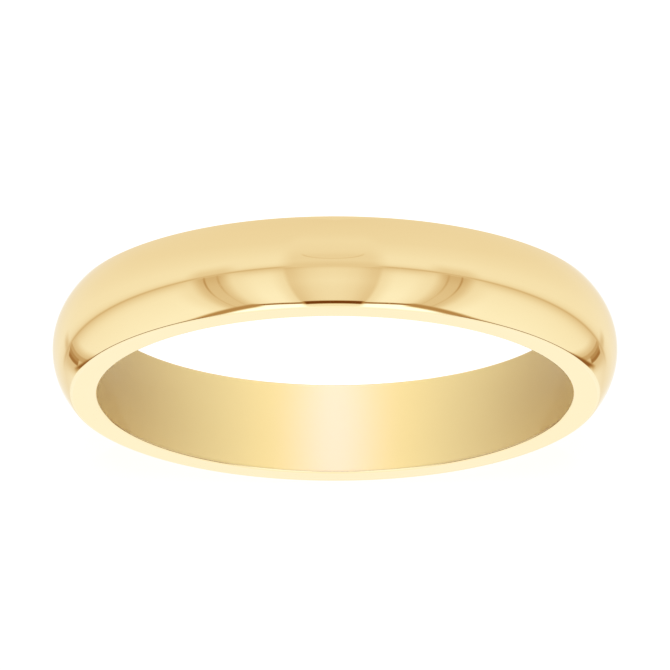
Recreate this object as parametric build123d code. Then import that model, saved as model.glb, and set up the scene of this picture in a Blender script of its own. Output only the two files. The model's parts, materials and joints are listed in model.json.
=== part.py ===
from build123d import *
import os

# A plain wedding band with a D-shaped section: a straight round bore for the finger, flat
# side faces and a domed outside. A real one is a single piece of metal, so it is one solid.
#
# Millimetres. The band stands on its edge, as when it is held up to be looked at: its axis
# runs along Y through the origin, which is the middle of the bore, and +Z is up.

# Driving dimensions
BORE_DIAMETER = 17.35       # the finger size
BAND_WIDTH = 3.5            # from side face to side face, along the axis
CROWN_THICKNESS = 1.65      # from the bore to the top of the dome, midway across the width
SIDE_THICKNESS = 0.98       # from the bore to the corner of the dome and the side face
OUTER_EDGE_RADIUS = 0.15    # rounding of that corner
BORE_EDGE_RADIUS = 0.12     # rounding of the corner of the bore and the side face

# Worked out from them
BORE_RADIUS = BORE_DIAMETER / 2
SIDE_RADIUS = BORE_RADIUS + SIDE_THICKNESS
CROWN_RADIUS = BORE_RADIUS + CROWN_THICKNESS
HALF_WIDTH = BAND_WIDTH / 2


def band_section():
    """The D-shaped section, drawn where it crosses the plane through the axis, above it."""
    front_corner = (-HALF_WIDTH, SIDE_RADIUS)
    back_corner = (HALF_WIDTH, SIDE_RADIUS)
    with BuildSketch(Plane.YZ) as section:
        with BuildLine():
            ThreePointArc(front_corner, (0, CROWN_RADIUS), back_corner)
            Polyline(
                back_corner,
                (HALF_WIDTH, BORE_RADIUS),
                (-HALF_WIDTH, BORE_RADIUS),
                front_corner,
            )
        make_face()
        fillet(section.vertices().group_by(Axis.Y)[-1], OUTER_EDGE_RADIUS)
        fillet(section.vertices().group_by(Axis.Y)[0], BORE_EDGE_RADIUS)
    return section.sketch


def make_band():
    """The whole ring: its section turned once round the finger's axis."""
    with BuildPart() as band:
        add(band_section())
        revolve(axis=Axis.Y)
    return band.part


def export_node(part, node):
    """Write one named piece as its own file."""
    part.label = node
    export_step(part, f"parts/{node}.step")


os.makedirs("parts", exist_ok=True)
export_node(make_band(), "band")
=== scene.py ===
import json
import math

import bpy
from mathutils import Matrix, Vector


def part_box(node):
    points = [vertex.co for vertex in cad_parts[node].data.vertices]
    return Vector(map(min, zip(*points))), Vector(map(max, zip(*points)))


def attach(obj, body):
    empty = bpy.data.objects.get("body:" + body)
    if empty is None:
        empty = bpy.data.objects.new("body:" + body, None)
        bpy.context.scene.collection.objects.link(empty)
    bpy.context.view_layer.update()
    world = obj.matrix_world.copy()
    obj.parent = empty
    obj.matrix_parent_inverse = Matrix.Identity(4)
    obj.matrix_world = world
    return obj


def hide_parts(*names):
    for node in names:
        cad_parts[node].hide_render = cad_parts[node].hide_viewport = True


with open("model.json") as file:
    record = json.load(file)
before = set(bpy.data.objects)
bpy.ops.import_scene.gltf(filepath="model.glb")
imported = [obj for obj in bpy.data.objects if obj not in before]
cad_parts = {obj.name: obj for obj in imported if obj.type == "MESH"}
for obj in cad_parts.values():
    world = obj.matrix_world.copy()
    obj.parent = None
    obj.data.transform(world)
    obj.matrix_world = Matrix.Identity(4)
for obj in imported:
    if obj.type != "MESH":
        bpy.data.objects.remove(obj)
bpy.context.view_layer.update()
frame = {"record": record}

# A plain gold wedding band, standing on its edge with the finger's axis along Y.
# The CAD solid has the right shape but coarse facets, which a mirror finish would show, so a
# finely turned mesh of the same section stands for it. Lengths are in metres.

MM = 0.001

# ---------------------------------------------------------------- sizes, from the frame

mounts = {mount["name"]: mount for mount in frame["record"]["mounts"]}
band_low, band_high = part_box("band")

HALF_WIDTH = band_high[1]
CROWN_RADIUS = band_high[2]
BORE_RADIUS = mounts["finger_bore"]["dims"]["r_mm"] * MM
BORE_EDGE_RADIUS = HALF_WIDTH - mounts["finger_bore"]["dims"]["length_mm"] * MM / 2
SIDE_RADIUS = 2 * mounts["front_face"]["pos_m"][2] - BORE_RADIUS
OUTER_EDGE_RADIUS = 0.15 * MM

# ---------------------------------------------------------------- how finely it is turned

STEPS_ROUND = 480
DOME_STEPS = 64
EDGE_STEPS = 12
FACE_STEPS = 6
BORE_STEPS = 16

# material slots, and how far the satin of the bore runs on round its rounded edges
POLISHED, SATIN = 0, 1
SATIN_ON_EDGE = math.radians(42)
SAME_RADIUS = 1e-7

# ---------------------------------------------------------------- finish

# The colour clouds between light and deep. Turned marks and scratches each add their own
# roughness at most, and mark_depth is the height of the marks, in metres.
MIRROR_FINISH = {
    "light": (0.995, 0.85, 0.505, 1.0),
    "deep": (0.985, 0.83, 0.475, 1.0),
    "metallic": 1.0,
    "roughness": 0.022,
    "turned_roughness": 0.016,
    "scratch_roughness": 0.03,
    "mark_depth": 4e-8,
}
SATIN_FINISH = {
    "light": (0.925, 0.79, 0.418, 1.0),
    "deep": (0.915, 0.78, 0.402, 1.0),
    "metallic": 0.3,
    "roughness": 0.34,
    "turned_roughness": 0.12,
    "scratch_roughness": 0.05,
    "mark_depth": 1.2e-6,
}
WORN_GOLD = (1.0, 0.90, 0.62, 1.0)
# the wear on the outer corners: its width, the roughness it adds, and its share of the colour
WEAR_WIDTH = 0.12 * MM
WEAR_ROUGHNESS = 0.10
WEAR_SHARE = 0.5

# cells of noise in a metre
CLOUDS = 260.0
SPECKS = 3200.0
TURNED_ALONG = 90.0
TURNED_ACROSS = 9000.0

# the specks that count as scratches, and their height as a share of the turned marks'
SCRATCH_FROM = (0.66, 0.74)
SCRATCH_HEIGHT = 0.5

# ---------------------------------------------------------------- the studio

WHITE = (1.0, 1.0, 1.0, 1.0)

# the share of the tent's light that surfaces without a mirror finish take, since lamps light
# those too, and the degrees by which the tent is turned round the band
AMBIENT_SHARE = 0.18
TENT_TURN = 0.8

# spots on the bottom of the bore: distance, half width of the beam, power, colour, radius
SPOT_ELEVATION = 70
SPOTS = {
    "key_lamp": (0.4, 0.0095, 4.4, (0.88, 1.0, 1.0), 0.001),
    "accent_lamp": (0.2, 0.0018, 1.8, (0.1, 0.15, 1.0), 0.0012),
    "warm_lamp": (0.4, 0.0045, 1.2, (1.0, 0.75, 0.37), 0.001),
}
BEAM_STRETCH = 3.0
OVERHEAD_ENERGY = 1.2
OVERHEAD_ANGLE = 24
OVERHEAD_COLOUR = (0.9, 0.97, 1.0)

# the floor is pale paint, with a glow that only the camera sees to bring it up to white
FLOOR_SIZE = 4.0
FLOOR_GLOW = 0.93
FLOOR_WHITE = (0.3, 0.3, 0.3, 1.0)

# the camera looks down on the front of the band from a long way off
CAMERA_ELEVATION = 70.57
CAMERA_DISTANCE = 45 * BORE_RADIUS
CAMERA_AIM_ABOVE_CENTRE = 0.0687 * BORE_RADIUS
FRAME_WIDTH_AT_BAND = 2.822 * BORE_RADIUS
SENSOR_WIDTH = 36.0
CLIP = (0.01, 10.0)


# ---------------------------------------------------------------- mesh

def dome_circle():
    """Centre height and radius of the dome's arc, through the crown and both corners."""
    rise = CROWN_RADIUS - SIDE_RADIUS
    radius = (HALF_WIDTH ** 2 + rise ** 2) / (2 * rise)
    return CROWN_RADIUS - radius, radius


def arc(centre, radius, start, end, steps, finish):
    """Points of the section on an arc: (along the axis, out from it, normal, finish)."""
    points = []
    for step in range(steps + 1):
        angle = start + (end - start) * step / steps
        normal = (math.sin(angle), math.cos(angle))
        y, out = centre[0] + radius * normal[0], centre[1] + radius * normal[1]
        points.append((y, out, normal, finish))
    return points


def straight(start, end, normal, steps, finish):
    """Points of the section between two corners, without the corners themselves."""
    points = []
    for step in range(1, steps):
        share = step / steps
        points.append((
            start[0] + (end[0] - start[0]) * share,
            start[1] + (end[1] - start[1]) * share,
            normal,
            finish,
        ))
    return points


def section():
    """The D-shaped section as a closed loop of points, starting at the back of the dome."""
    dome_centre, dome_radius = dome_circle()
    edge_y = HALF_WIDTH - OUTER_EDGE_RADIUS
    edge_r = dome_centre + math.sqrt((dome_radius - OUTER_EDGE_RADIUS) ** 2 - edge_y ** 2)
    meets = math.atan2(edge_y, edge_r - dome_centre)
    bore_y = HALF_WIDTH - BORE_EDGE_RADIUS
    bore_r = BORE_RADIUS + BORE_EDGE_RADIUS
    quarter = math.pi / 2

    loop = []
    loop += arc((0, dome_centre), dome_radius, meets, -meets, DOME_STEPS, POLISHED)
    loop += arc((-edge_y, edge_r), OUTER_EDGE_RADIUS, -meets, -quarter, EDGE_STEPS, POLISHED)[1:]
    loop += straight((-HALF_WIDTH, edge_r), (-HALF_WIDTH, bore_r), (-1, 0), FACE_STEPS, POLISHED)
    loop += arc((-bore_y, bore_r), BORE_EDGE_RADIUS, -quarter, -2 * quarter, EDGE_STEPS, SATIN)
    loop += straight((-bore_y, BORE_RADIUS), (bore_y, BORE_RADIUS), (0, -1), BORE_STEPS, SATIN)
    loop += arc((bore_y, bore_r), BORE_EDGE_RADIUS, 2 * quarter, quarter, EDGE_STEPS, SATIN)
    loop += straight((HALF_WIDTH, bore_r), (HALF_WIDTH, edge_r), (1, 0), FACE_STEPS, POLISHED)
    loop += arc((edge_y, edge_r), OUTER_EDGE_RADIUS, quarter, meets, EDGE_STEPS, POLISHED)[:-1]
    satin_to = BORE_RADIUS + BORE_EDGE_RADIUS * (1 - math.cos(SATIN_ON_EDGE)) + SAME_RADIUS
    return [
        (y, radius, normal, POLISHED if radius > satin_to else finish)
        for y, radius, normal, finish in loop
    ]


def turned_band():
    """The band's mesh: its section turned round the Y axis, shaded with its true normals."""
    loop = section()
    vertices, normals, faces, materials = [], [], [], []
    for turn in range(STEPS_ROUND):
        angle = math.tau * turn / STEPS_ROUND
        across, up = math.sin(angle), math.cos(angle)
        for y, radius, normal, _ in loop:
            vertices.append((radius * across, y, radius * up))
            normals.append((normal[1] * across, normal[0], normal[1] * up))
    count = len(loop)
    for turn in range(STEPS_ROUND):
        this_row = turn * count
        next_row = (turn + 1) % STEPS_ROUND * count
        for index in range(count):
            following = (index + 1) % count
            faces.append((
                this_row + index, this_row + following, next_row + following, next_row + index))
            materials.append(min(loop[index][3], loop[following][3]))
    mesh = bpy.data.meshes.new("band_turned")
    mesh.from_pydata(vertices, [], faces)
    mesh.polygons.foreach_set("material_index", materials)
    mesh.polygons.foreach_set("use_smooth", [True] * len(faces))
    mesh.update()
    mesh.normals_split_custom_set_from_vertices(normals)
    return mesh


# ---------------------------------------------------------------- node helpers

class Graph:
    """A node tree, with short calls for the nodes that this script uses."""

    def __init__(self, tree):
        self.tree = tree
        tree.nodes.clear()

    def node(self, kind, **settings):
        made = self.tree.nodes.new(kind)
        for name, value in settings.items():
            setattr(made, name, value)
        return made

    def feed(self, socket, value):
        """Sets a socket to a number or colour, or links it to another node's output."""
        if isinstance(value, bpy.types.NodeSocket):
            self.tree.links.new(value, socket)
        else:
            socket.default_value = value

    def math(self, operation, *values):
        made = self.node("ShaderNodeMath", operation=operation)
        for socket, value in zip(made.inputs, values):
            self.feed(socket, value)
        return made.outputs[0]

    def step(self, value, start, end):
        """0 below start, 1 above end, and a smooth rise between them."""
        made = self.node("ShaderNodeMapRange", interpolation_type="SMOOTHSTEP")
        self.feed(made.inputs["Value"], value)
        self.feed(made.inputs["From Min"], start)
        self.feed(made.inputs["From Max"], end)
        return made.outputs["Result"]

    def inside(self, value, low, high, softness):
        """1 where value lies between low and high, with soft edges centred on them."""
        half = softness / 2
        rising = self.step(value, low - half, low + half)
        falling = self.step(value, high - half, high + half)
        return self.math("SUBTRACT", rising, falling)

    def ramp(self, value, stops):
        """A curve of straight runs through stops, which are (value, result) and rise in value."""
        low, high = stops[0][0], stops[-1][0]
        place = self.node("ShaderNodeMapRange")
        self.feed(place.inputs["Value"], value)
        self.feed(place.inputs["From Min"], low)
        self.feed(place.inputs["From Max"], high)
        most = max(result for _, result in stops)
        made = self.node("ShaderNodeValToRGB")
        elements = made.color_ramp.elements
        elements[0].position, elements[1].position = 0.0, 1.0
        for start, _ in stops[1:-1]:
            elements.new((start - low) / (high - low))
        for element, (_, result) in zip(elements, stops):
            share = result / most
            element.color = (share, share, share, 1.0)
        self.feed(made.inputs["Fac"], place.outputs["Result"])
        return self.math("MULTIPLY", made.outputs["Color"], most)

    def blend(self, share, first, second):
        made = self.node("ShaderNodeMix", data_type="FLOAT")
        self.feed(made.inputs["Factor"], share)
        self.feed(made.inputs["A"], first)
        self.feed(made.inputs["B"], second)
        return made.outputs["Result"]

    def both(self, first, first_place, second, second_place):
        """1 where each of two values lies inside its place, (low, high, softness)."""
        return self.math(
            "MULTIPLY", self.inside(first, *first_place), self.inside(second, *second_place))

    def mix_colour(self, share, first, second):
        made = self.node("ShaderNodeMix", data_type="RGBA")
        self.feed(made.inputs["Factor"], share)
        self.feed(made.inputs["A"], first)
        self.feed(made.inputs["B"], second)
        return made.outputs["Result"]

    def noise(self, place, scales, detail):
        """Noise over a place, with its own number of cells in a metre along each axis."""
        stretched = self.node("ShaderNodeVectorMath", operation="MULTIPLY")
        self.feed(stretched.inputs[0], place)
        self.feed(stretched.inputs[1], scales)
        made = self.node("ShaderNodeTexNoise")
        self.feed(made.inputs["Vector"], stretched.outputs[0])
        self.feed(made.inputs["Scale"], 1.0)
        self.feed(made.inputs["Detail"], detail)
        return made.outputs["Fac"]


# ---------------------------------------------------------------- materials

def gold_material(name, finish):
    """Gold with clouding, turned marks, small scratches and a softer, paler worn edge."""
    material = bpy.data.materials.new(name)
    material.use_nodes = True
    graph = Graph(material.node_tree)
    place = graph.node("ShaderNodeTexCoord").outputs["Object"]
    axes = graph.node("ShaderNodeSeparateXYZ")
    graph.feed(axes.inputs["Vector"], place)
    x, y, z = axes.outputs

    clouds = graph.noise(place, (CLOUDS, CLOUDS, CLOUDS), 3.0)
    turned = graph.noise(place, (TURNED_ALONG, TURNED_ACROSS, TURNED_ALONG), 2.0)
    specks = graph.noise(place, (SPECKS, SPECKS, SPECKS), 1.0)
    scratches = graph.step(specks, *SCRATCH_FROM)

    # the wear is on the outer corners, where the front and back faces meet the dome
    across, up = graph.math("MULTIPLY", x, x), graph.math("MULTIPLY", z, z)
    out = graph.math("SQRT", graph.math("ADD", across, up))
    at_side = graph.step(graph.math("ABSOLUTE", y), HALF_WIDTH - WEAR_WIDTH, HALF_WIDTH)
    at_corner = graph.step(out, SIDE_RADIUS - WEAR_WIDTH, SIDE_RADIUS - WEAR_WIDTH / 2)
    wear = graph.math("MULTIPLY", graph.math("MULTIPLY", at_side, at_corner), clouds)

    colour = graph.mix_colour(clouds, finish["deep"], finish["light"])
    colour = graph.mix_colour(graph.math("MULTIPLY", wear, WEAR_SHARE), colour, WORN_GOLD)
    roughness = graph.math("MULTIPLY_ADD", turned, finish["turned_roughness"], finish["roughness"])
    roughness = graph.math("MULTIPLY_ADD", scratches, finish["scratch_roughness"], roughness)
    roughness = graph.math("MULTIPLY_ADD", wear, WEAR_ROUGHNESS, roughness)

    bump = graph.node("ShaderNodeBump")
    graph.feed(bump.inputs["Strength"], 1.0)
    graph.feed(bump.inputs["Distance"], finish["mark_depth"])
    graph.feed(bump.inputs["Height"], graph.math("MULTIPLY_ADD", scratches, SCRATCH_HEIGHT, turned))

    shader = graph.node("ShaderNodeBsdfPrincipled")
    graph.feed(shader.inputs["Base Color"], colour)
    graph.feed(shader.inputs["Metallic"], finish["metallic"])
    graph.feed(shader.inputs["Roughness"], roughness)
    graph.feed(shader.inputs["Normal"], bump.outputs["Normal"])
    output = graph.node("ShaderNodeOutputMaterial")
    graph.feed(output.inputs["Surface"], shader.outputs["BSDF"])
    return material


# ---------------------------------------------------------------- light tent

# The tent is described round the band's own axis: a bearing, in degrees from straight up
# towards either side, and a rise, in degrees from the band's middle plane towards the front.
# A tone is how much light a place gives back: 1 is white paper, and darker is also warmer.
# A place is (low, high, softness) in degrees, and a curve is [(degrees, tone), ...].

# the table behind, the seam at its edge, and the sheets that stand in front
BACKDROP = [
    (-90, 0.755), (-60, 0.785), (-45, 0.80), (-30, 0.85), (-20, 0.89), (-12, 0.90),
    (-8, 0.86), (-5.4, 0.78), (-4.1, 0.60), (-3.4, 0.50), (-2.5, 0.62), (-1, 0.70),
    (1, 0.76), (4, 0.84), (7, 0.89), (12, 0.93), (22, 0.96), (38, 1.0),
]
SHEETS_FROM = (-3.0, -1.5)

# beside the far posts
FAR_SHADE = (128.5, 145, 7)
FAR_SHADE_TONE = 0.60
PAST_FAR_POSTS = (138, 152)
PAST_FAR_POSTS_TONES = [(-40, 0.80), (-12, 0.90), (-1, 0.82), (6, 0.90), (14, 1.0)]

# the strip that the camera looks along, from the table up to the top of the front
STRIP = [
    (-90, 0.755), (-60, 0.79), (-45, 0.83), (-30, 0.81), (-18, 0.765), (-12, 0.765),
    (-9, 0.73), (-5, 0.69), (-2, 0.71), (0, 0.78), (3, 0.82), (20, 0.875), (32, 0.845),
    (50, 0.83),
]
STRIP_SIDES = [(0, 1.0), (5, 0.985), (10, 0.94), (13, 0.88), (16, 0.815), (18.5, 0.79)]
STRIP_LEAN = 0.032
STRIP_ON_TABLE = (-9, 19, 9)
STRIP_IN_FRONT = (-9, 19.2, 2.4)
STRIP_SHADE = (-9, 22, 9)
STRIP_SHADE_SHARE = 0.5

# the near posts, each with two thin lines that fade as they rise, and their mirror image
NEAR_POST = (43.4, 56.4, 6.5)
NEAR_POST_TONES = [(-2, 0.50), (3, 0.53), (12, 0.59), (32, 0.64)]
NEAR_SHADE = (37, 63, 12)
NEAR_SHADE_TONE = 0.78
NEAR_SHADE_SHARE = 0.6
NEAR_LINES = ((46.6, 0.44), (52.4, 0.32))
LINE_HALF_WIDTH = 0.4
LINE_SOFTNESS = 0.8
LINE_FADES = (4, 34)
LINE_LEFT_AT_TOP = 0.25
MIRRORED_BEARING = (41, 58, 9)
MIRRORED_RISE = (-12, -3.4, 14)
MIRRORED_TONE = 0.58
MIRRORED_SHARE = 0.6

# a faint round rim standing on the table, in shares of its own half width and height
RIM_RISE = -25.0
RIM_HALF_WIDTH = 13.0
RIM_HALF_HEIGHT = 10.4
RIM_UPPER_HALF = (RIM_RISE, -19)
RIM_INSIDE = (0.0, 0.97, 0.1)
RIM_INSIDE_TONE = 0.745
RIM_LINE = (0.95, 1.02, 0.09)
RIM_LINE_TONE = 0.60

# the far posts, with a thin gap beside each and its streak on the table
POST_FOOT_SLOPE = -0.4
POST_FOOT = (-56.6, -55.4)
POST_TOP = (9.0, 10.4)
POST_PARTS = (((134.3, 138.5, 0.8), 0.30), ((136.4, 138.5, 1.2), 0.20))
GAP_BEARING = (131.9, 135, 0.9)
GAP_RISE = (-3, 17, 2)
GAP_TONE = 0.43
STREAK_BEARING = (135, 139.5, 4)
STREAK_RISE = (-10, -3, 9)
STREAK_TONE = 0.55
STREAK_SHARE = 0.8

# how high the top edge of the front stands, by bearing, and what lies past it
ARCH = [
    (0, 54.4), (16, 54.3), (22, 53.6), (28, 52.4), (35, 51.0), (42, 49.4), (76, 48.9),
    (90, 45), (100, 41.5), (110, 37), (118, 32), (124, 26), (132, 18), (141, 9),
]
BEYOND_ARCH = (0.5, 2.5)
CEILING_MIDDLE, CEILING, CEILING_SIDES, CEILING_FRONT = 0.93, 1.35, 1.03, 1.08
CEILING_FROM = (15, 20)
CEILING_SIDES_FROM = (55, 75)
CEILING_FRONT_FROM = (62, 75)
# the dark gap along that edge: place across it, place along it, and tone
ARCH_GAP = (
    ((-2.6, 2.5, 1.8), (-9, 16.5, 3), 0.05),
    ((-1.1, 1.3, 2.0), (16.5, 42, 3), 0.10),
    ((-2.2, 3.4, 3.2), (40, 78, 6), 0.28),
    ((-1.5, 14, 3.0), (76, 141, 6), 0.12),
)

# white paper under the band
PAPER_BEARING = (162, 178)
PAPER_RISE = (-75, -45)
PAPER_TONE = 1.03

# a darker tone is warmer: what the tone is raised to in red, green and blue
WARMTH = (0.6, 1.0, 1.6)


def tent_table_and_sheets(graph, bearing, rise, in_front):
    tone = graph.ramp(rise, BACKDROP)
    far_shade = graph.math("MULTIPLY", graph.inside(bearing, *FAR_SHADE), in_front)
    tone = graph.blend(far_shade, tone, FAR_SHADE_TONE)
    past_posts = graph.step(bearing, *PAST_FAR_POSTS)
    return graph.blend(past_posts, tone, graph.ramp(rise, PAST_FAR_POSTS_TONES))


def tent_strip(graph, tone, bearing, lean, rise, in_front):
    """The middle strip, with its darker sides."""
    sides = graph.blend(in_front, 1.0, graph.ramp(lean, STRIP_SIDES))
    strip = graph.math("MULTIPLY", graph.ramp(rise, STRIP), sides)
    shade = graph.math("MULTIPLY", graph.inside(bearing, *STRIP_SHADE), in_front)
    tone = graph.blend(graph.math("MULTIPLY", shade, STRIP_SHADE_SHARE), tone, strip)
    on_table = graph.inside(bearing, *STRIP_ON_TABLE)
    place = graph.blend(in_front, on_table, graph.inside(lean, *STRIP_IN_FRONT))
    return graph.blend(place, tone, strip)


def tent_near_posts(graph, tone, bearing, lean, rise, in_front):
    shade = graph.math("MULTIPLY", graph.inside(lean, *NEAR_SHADE), in_front)
    tone = graph.blend(graph.math("MULTIPLY", shade, NEAR_SHADE_SHARE), tone, NEAR_SHADE_TONE)
    post = graph.math("MULTIPLY", graph.inside(lean, *NEAR_POST), in_front)
    tone = graph.blend(post, tone, graph.ramp(rise, NEAR_POST_TONES))
    strength = graph.blend(graph.step(rise, *LINE_FADES), 1.0, LINE_LEFT_AT_TOP)
    for where, line_tone in NEAR_LINES:
        low, high = where - LINE_HALF_WIDTH, where + LINE_HALF_WIDTH
        line = graph.math("MULTIPLY", graph.inside(lean, low, high, LINE_SOFTNESS), in_front)
        tone = graph.blend(graph.math("MULTIPLY", line, strength), tone, line_tone)
    mirrored = graph.both(bearing, MIRRORED_BEARING, rise, MIRRORED_RISE)
    return graph.blend(graph.math("MULTIPLY", mirrored, MIRRORED_SHARE), tone, MIRRORED_TONE)


def tent_round_rim(graph, tone, bearing, rise):
    across = graph.math("POWER", graph.math("DIVIDE", bearing, RIM_HALF_WIDTH), 2.0)
    above = graph.math("SUBTRACT", rise, RIM_RISE)
    along = graph.math("POWER", graph.math("DIVIDE", above, RIM_HALF_HEIGHT), 2.0)
    out = graph.math("SQRT", graph.math("ADD", across, along))
    upper = graph.step(rise, *RIM_UPPER_HALF)
    for place, value in ((RIM_INSIDE, RIM_INSIDE_TONE), (RIM_LINE, RIM_LINE_TONE)):
        tone = graph.blend(graph.math("MULTIPLY", graph.inside(out, *place), upper), tone, value)
    return tone


def tent_far_posts(graph, tone, bearing, rise):
    foot = graph.math("MULTIPLY_ADD", bearing, POST_FOOT_SLOPE, rise)
    standing = graph.math("SUBTRACT", graph.step(foot, *POST_FOOT), graph.step(rise, *POST_TOP))
    tone = graph.blend(graph.both(bearing, GAP_BEARING, rise, GAP_RISE), tone, GAP_TONE)
    for place, value in POST_PARTS:
        part = graph.math("MULTIPLY", graph.inside(bearing, *place), standing)
        tone = graph.blend(part, tone, value)
    streak = graph.both(bearing, STREAK_BEARING, rise, STREAK_RISE)
    return graph.blend(graph.math("MULTIPLY", streak, STREAK_SHARE), tone, STREAK_TONE)


def tent_top_edge(graph, tone, bearing, rise):
    """The top edge of the front, with the bright ceiling and floor past it."""
    height = graph.math("SUBTRACT", rise, graph.ramp(bearing, ARCH))
    ceiling = graph.blend(graph.step(bearing, *CEILING_FROM), CEILING_MIDDLE, CEILING)
    ceiling = graph.blend(graph.step(bearing, *CEILING_SIDES_FROM), ceiling, CEILING_SIDES)
    ceiling = graph.blend(graph.step(rise, *CEILING_FRONT_FROM), ceiling, CEILING_FRONT)
    tone = graph.blend(graph.step(height, *BEYOND_ARCH), tone, ceiling)
    for across, along, value in ARCH_GAP:
        tone = graph.blend(graph.both(height, across, bearing, along), tone, value)
    return tone


def light_tent():
    world = bpy.data.worlds.new("light_tent")
    bpy.context.scene.world = world
    world.use_nodes = True
    graph = Graph(world.node_tree)

    direction = graph.node("ShaderNodeTexCoord").outputs["Generated"]
    axes = graph.node("ShaderNodeSeparateXYZ")
    graph.feed(axes.inputs["Vector"], direction)
    x, y, z = axes.outputs
    from_top = graph.math("DEGREES", graph.math("ARCTAN2", x, z))
    bearing = graph.math("ABSOLUTE", graph.math("ADD", from_top, TENT_TURN))
    forward = graph.math("MULTIPLY", y, -1.0)
    rise = graph.math("DEGREES", graph.math("ARCSINE", forward))
    in_front = graph.step(rise, *SHEETS_FROM)
    above_table = graph.math("MAXIMUM", rise, 0.0)
    lean = graph.math("MULTIPLY_ADD", above_table, STRIP_LEAN, bearing)

    tone = tent_table_and_sheets(graph, bearing, rise, in_front)
    tone = tent_strip(graph, tone, bearing, lean, rise, in_front)
    tone = tent_near_posts(graph, tone, bearing, lean, rise, in_front)
    tone = tent_round_rim(graph, tone, bearing, rise)
    tone = tent_far_posts(graph, tone, bearing, rise)
    tone = tent_top_edge(graph, tone, bearing, rise)
    below = graph.step(bearing, *PAPER_BEARING)
    paper = graph.math("MULTIPLY", below, graph.step(rise, *PAPER_RISE))
    tone = graph.blend(paper, tone, PAPER_TONE)

    path = graph.node("ShaderNodeLightPath")
    share = graph.blend(path.outputs["Is Diffuse Ray"], 1.0, AMBIENT_SHARE)
    tone = graph.math("MULTIPLY", tone, share)
    colour = graph.node("ShaderNodeCombineColor")
    for socket, power in zip(colour.inputs, WARMTH):
        graph.feed(socket, graph.math("POWER", tone, power))

    seen = graph.mix_colour(path.outputs["Is Camera Ray"], colour.outputs["Color"], WHITE)
    background = graph.node("ShaderNodeBackground")
    graph.feed(background.inputs["Color"], seen)
    output = graph.node("ShaderNodeOutputWorld")
    graph.feed(output.inputs["Surface"], background.outputs["Background"])


# ---------------------------------------------------------------- lamps, floor and camera

def lamp(name, kind):
    """A lamp that lights the band but isn't itself seen in its mirror finish."""
    light = bpy.data.lights.new(name, kind)
    made = bpy.data.objects.new(name, light)
    bpy.context.scene.collection.objects.link(made)
    made.visible_glossy = False
    return made, light


def spot(name, target, distance, half_width, power, colour, radius):
    """A soft spot behind the band and above it, pointing at a place on its middle plane."""
    angle = math.radians(SPOT_ELEVATION)
    towards = Vector((0, math.cos(angle), math.sin(angle)))
    made, light = lamp(name, "SPOT")
    light.energy = power
    light.color = colour
    light.shadow_soft_size = radius
    light.spot_size = 2 * math.atan(half_width / distance)
    light.spot_blend = 1.0
    made.location = target + towards * distance
    made.rotation_mode = "QUATERNION"
    made.rotation_quaternion = (-towards).to_track_quat("-Z", "Y")
    made.scale = (1.0, BEAM_STRETCH, 1.0)


def lamps():
    for name, settings in SPOTS.items():
        spot(name, Vector((0, 0, -BORE_RADIUS)), *settings)
    _, overhead = lamp("overhead_lamp", "SUN")
    overhead.energy = OVERHEAD_ENERGY
    overhead.angle = math.radians(OVERHEAD_ANGLE)
    overhead.color = OVERHEAD_COLOUR


def pale_floor():
    material = bpy.data.materials.new("pale_floor")
    material.use_nodes = True
    graph = Graph(material.node_tree)
    path = graph.node("ShaderNodeLightPath")
    glow = graph.node("ShaderNodeEmission")
    seen = graph.math("MULTIPLY", path.outputs["Is Camera Ray"], FLOOR_GLOW)
    graph.feed(glow.inputs["Strength"], seen)
    paint = graph.node("ShaderNodeBsdfDiffuse")
    graph.feed(paint.inputs["Color"], FLOOR_WHITE)
    both = graph.node("ShaderNodeAddShader")
    graph.feed(both.inputs[0], glow.outputs[0])
    graph.feed(both.inputs[1], paint.outputs[0])
    output = graph.node("ShaderNodeOutputMaterial")
    graph.feed(output.inputs["Surface"], both.outputs[0])

    half = FLOOR_SIZE / 2
    mesh = bpy.data.meshes.new("floor")
    corners = [(-half, -half, 0), (half, -half, 0), (half, half, 0), (-half, half, 0)]
    mesh.from_pydata(corners, [], [(0, 1, 2, 3)])
    mesh.materials.append(material)
    floor = bpy.data.objects.new("floor", mesh)
    floor.location = (0, 0, -CROWN_RADIUS)
    floor.visible_glossy = False
    bpy.context.scene.collection.objects.link(floor)


def camera():
    elevation = math.radians(CAMERA_ELEVATION)
    back = Vector((0, -math.cos(elevation), math.sin(elevation)))
    up = Vector((0, math.sin(elevation), math.cos(elevation)))
    data = bpy.data.cameras.new("camera")
    data.sensor_width = SENSOR_WIDTH
    data.lens = SENSOR_WIDTH * CAMERA_DISTANCE / FRAME_WIDTH_AT_BAND
    data.clip_start, data.clip_end = CLIP
    made = bpy.data.objects.new("camera", data)
    made.location = up * CAMERA_AIM_ABOVE_CENTRE + back * CAMERA_DISTANCE
    made.rotation_mode = "QUATERNION"
    made.rotation_quaternion = (-back).to_track_quat("-Z", "Y")
    bpy.context.scene.collection.objects.link(made)
    bpy.context.scene.camera = made


def band():
    mesh = turned_band()
    mesh.materials.append(gold_material("polished_gold", MIRROR_FINISH))
    mesh.materials.append(gold_material("satin_gold", SATIN_FINISH))
    piece = bpy.data.objects.new("gold_band", mesh)
    bpy.context.scene.collection.objects.link(piece)
    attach(piece, "root")
    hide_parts("band")


band()
light_tent()
lamps()
pale_floor()
camera()

bpy.context.scene.view_settings.view_transform = "Standard"
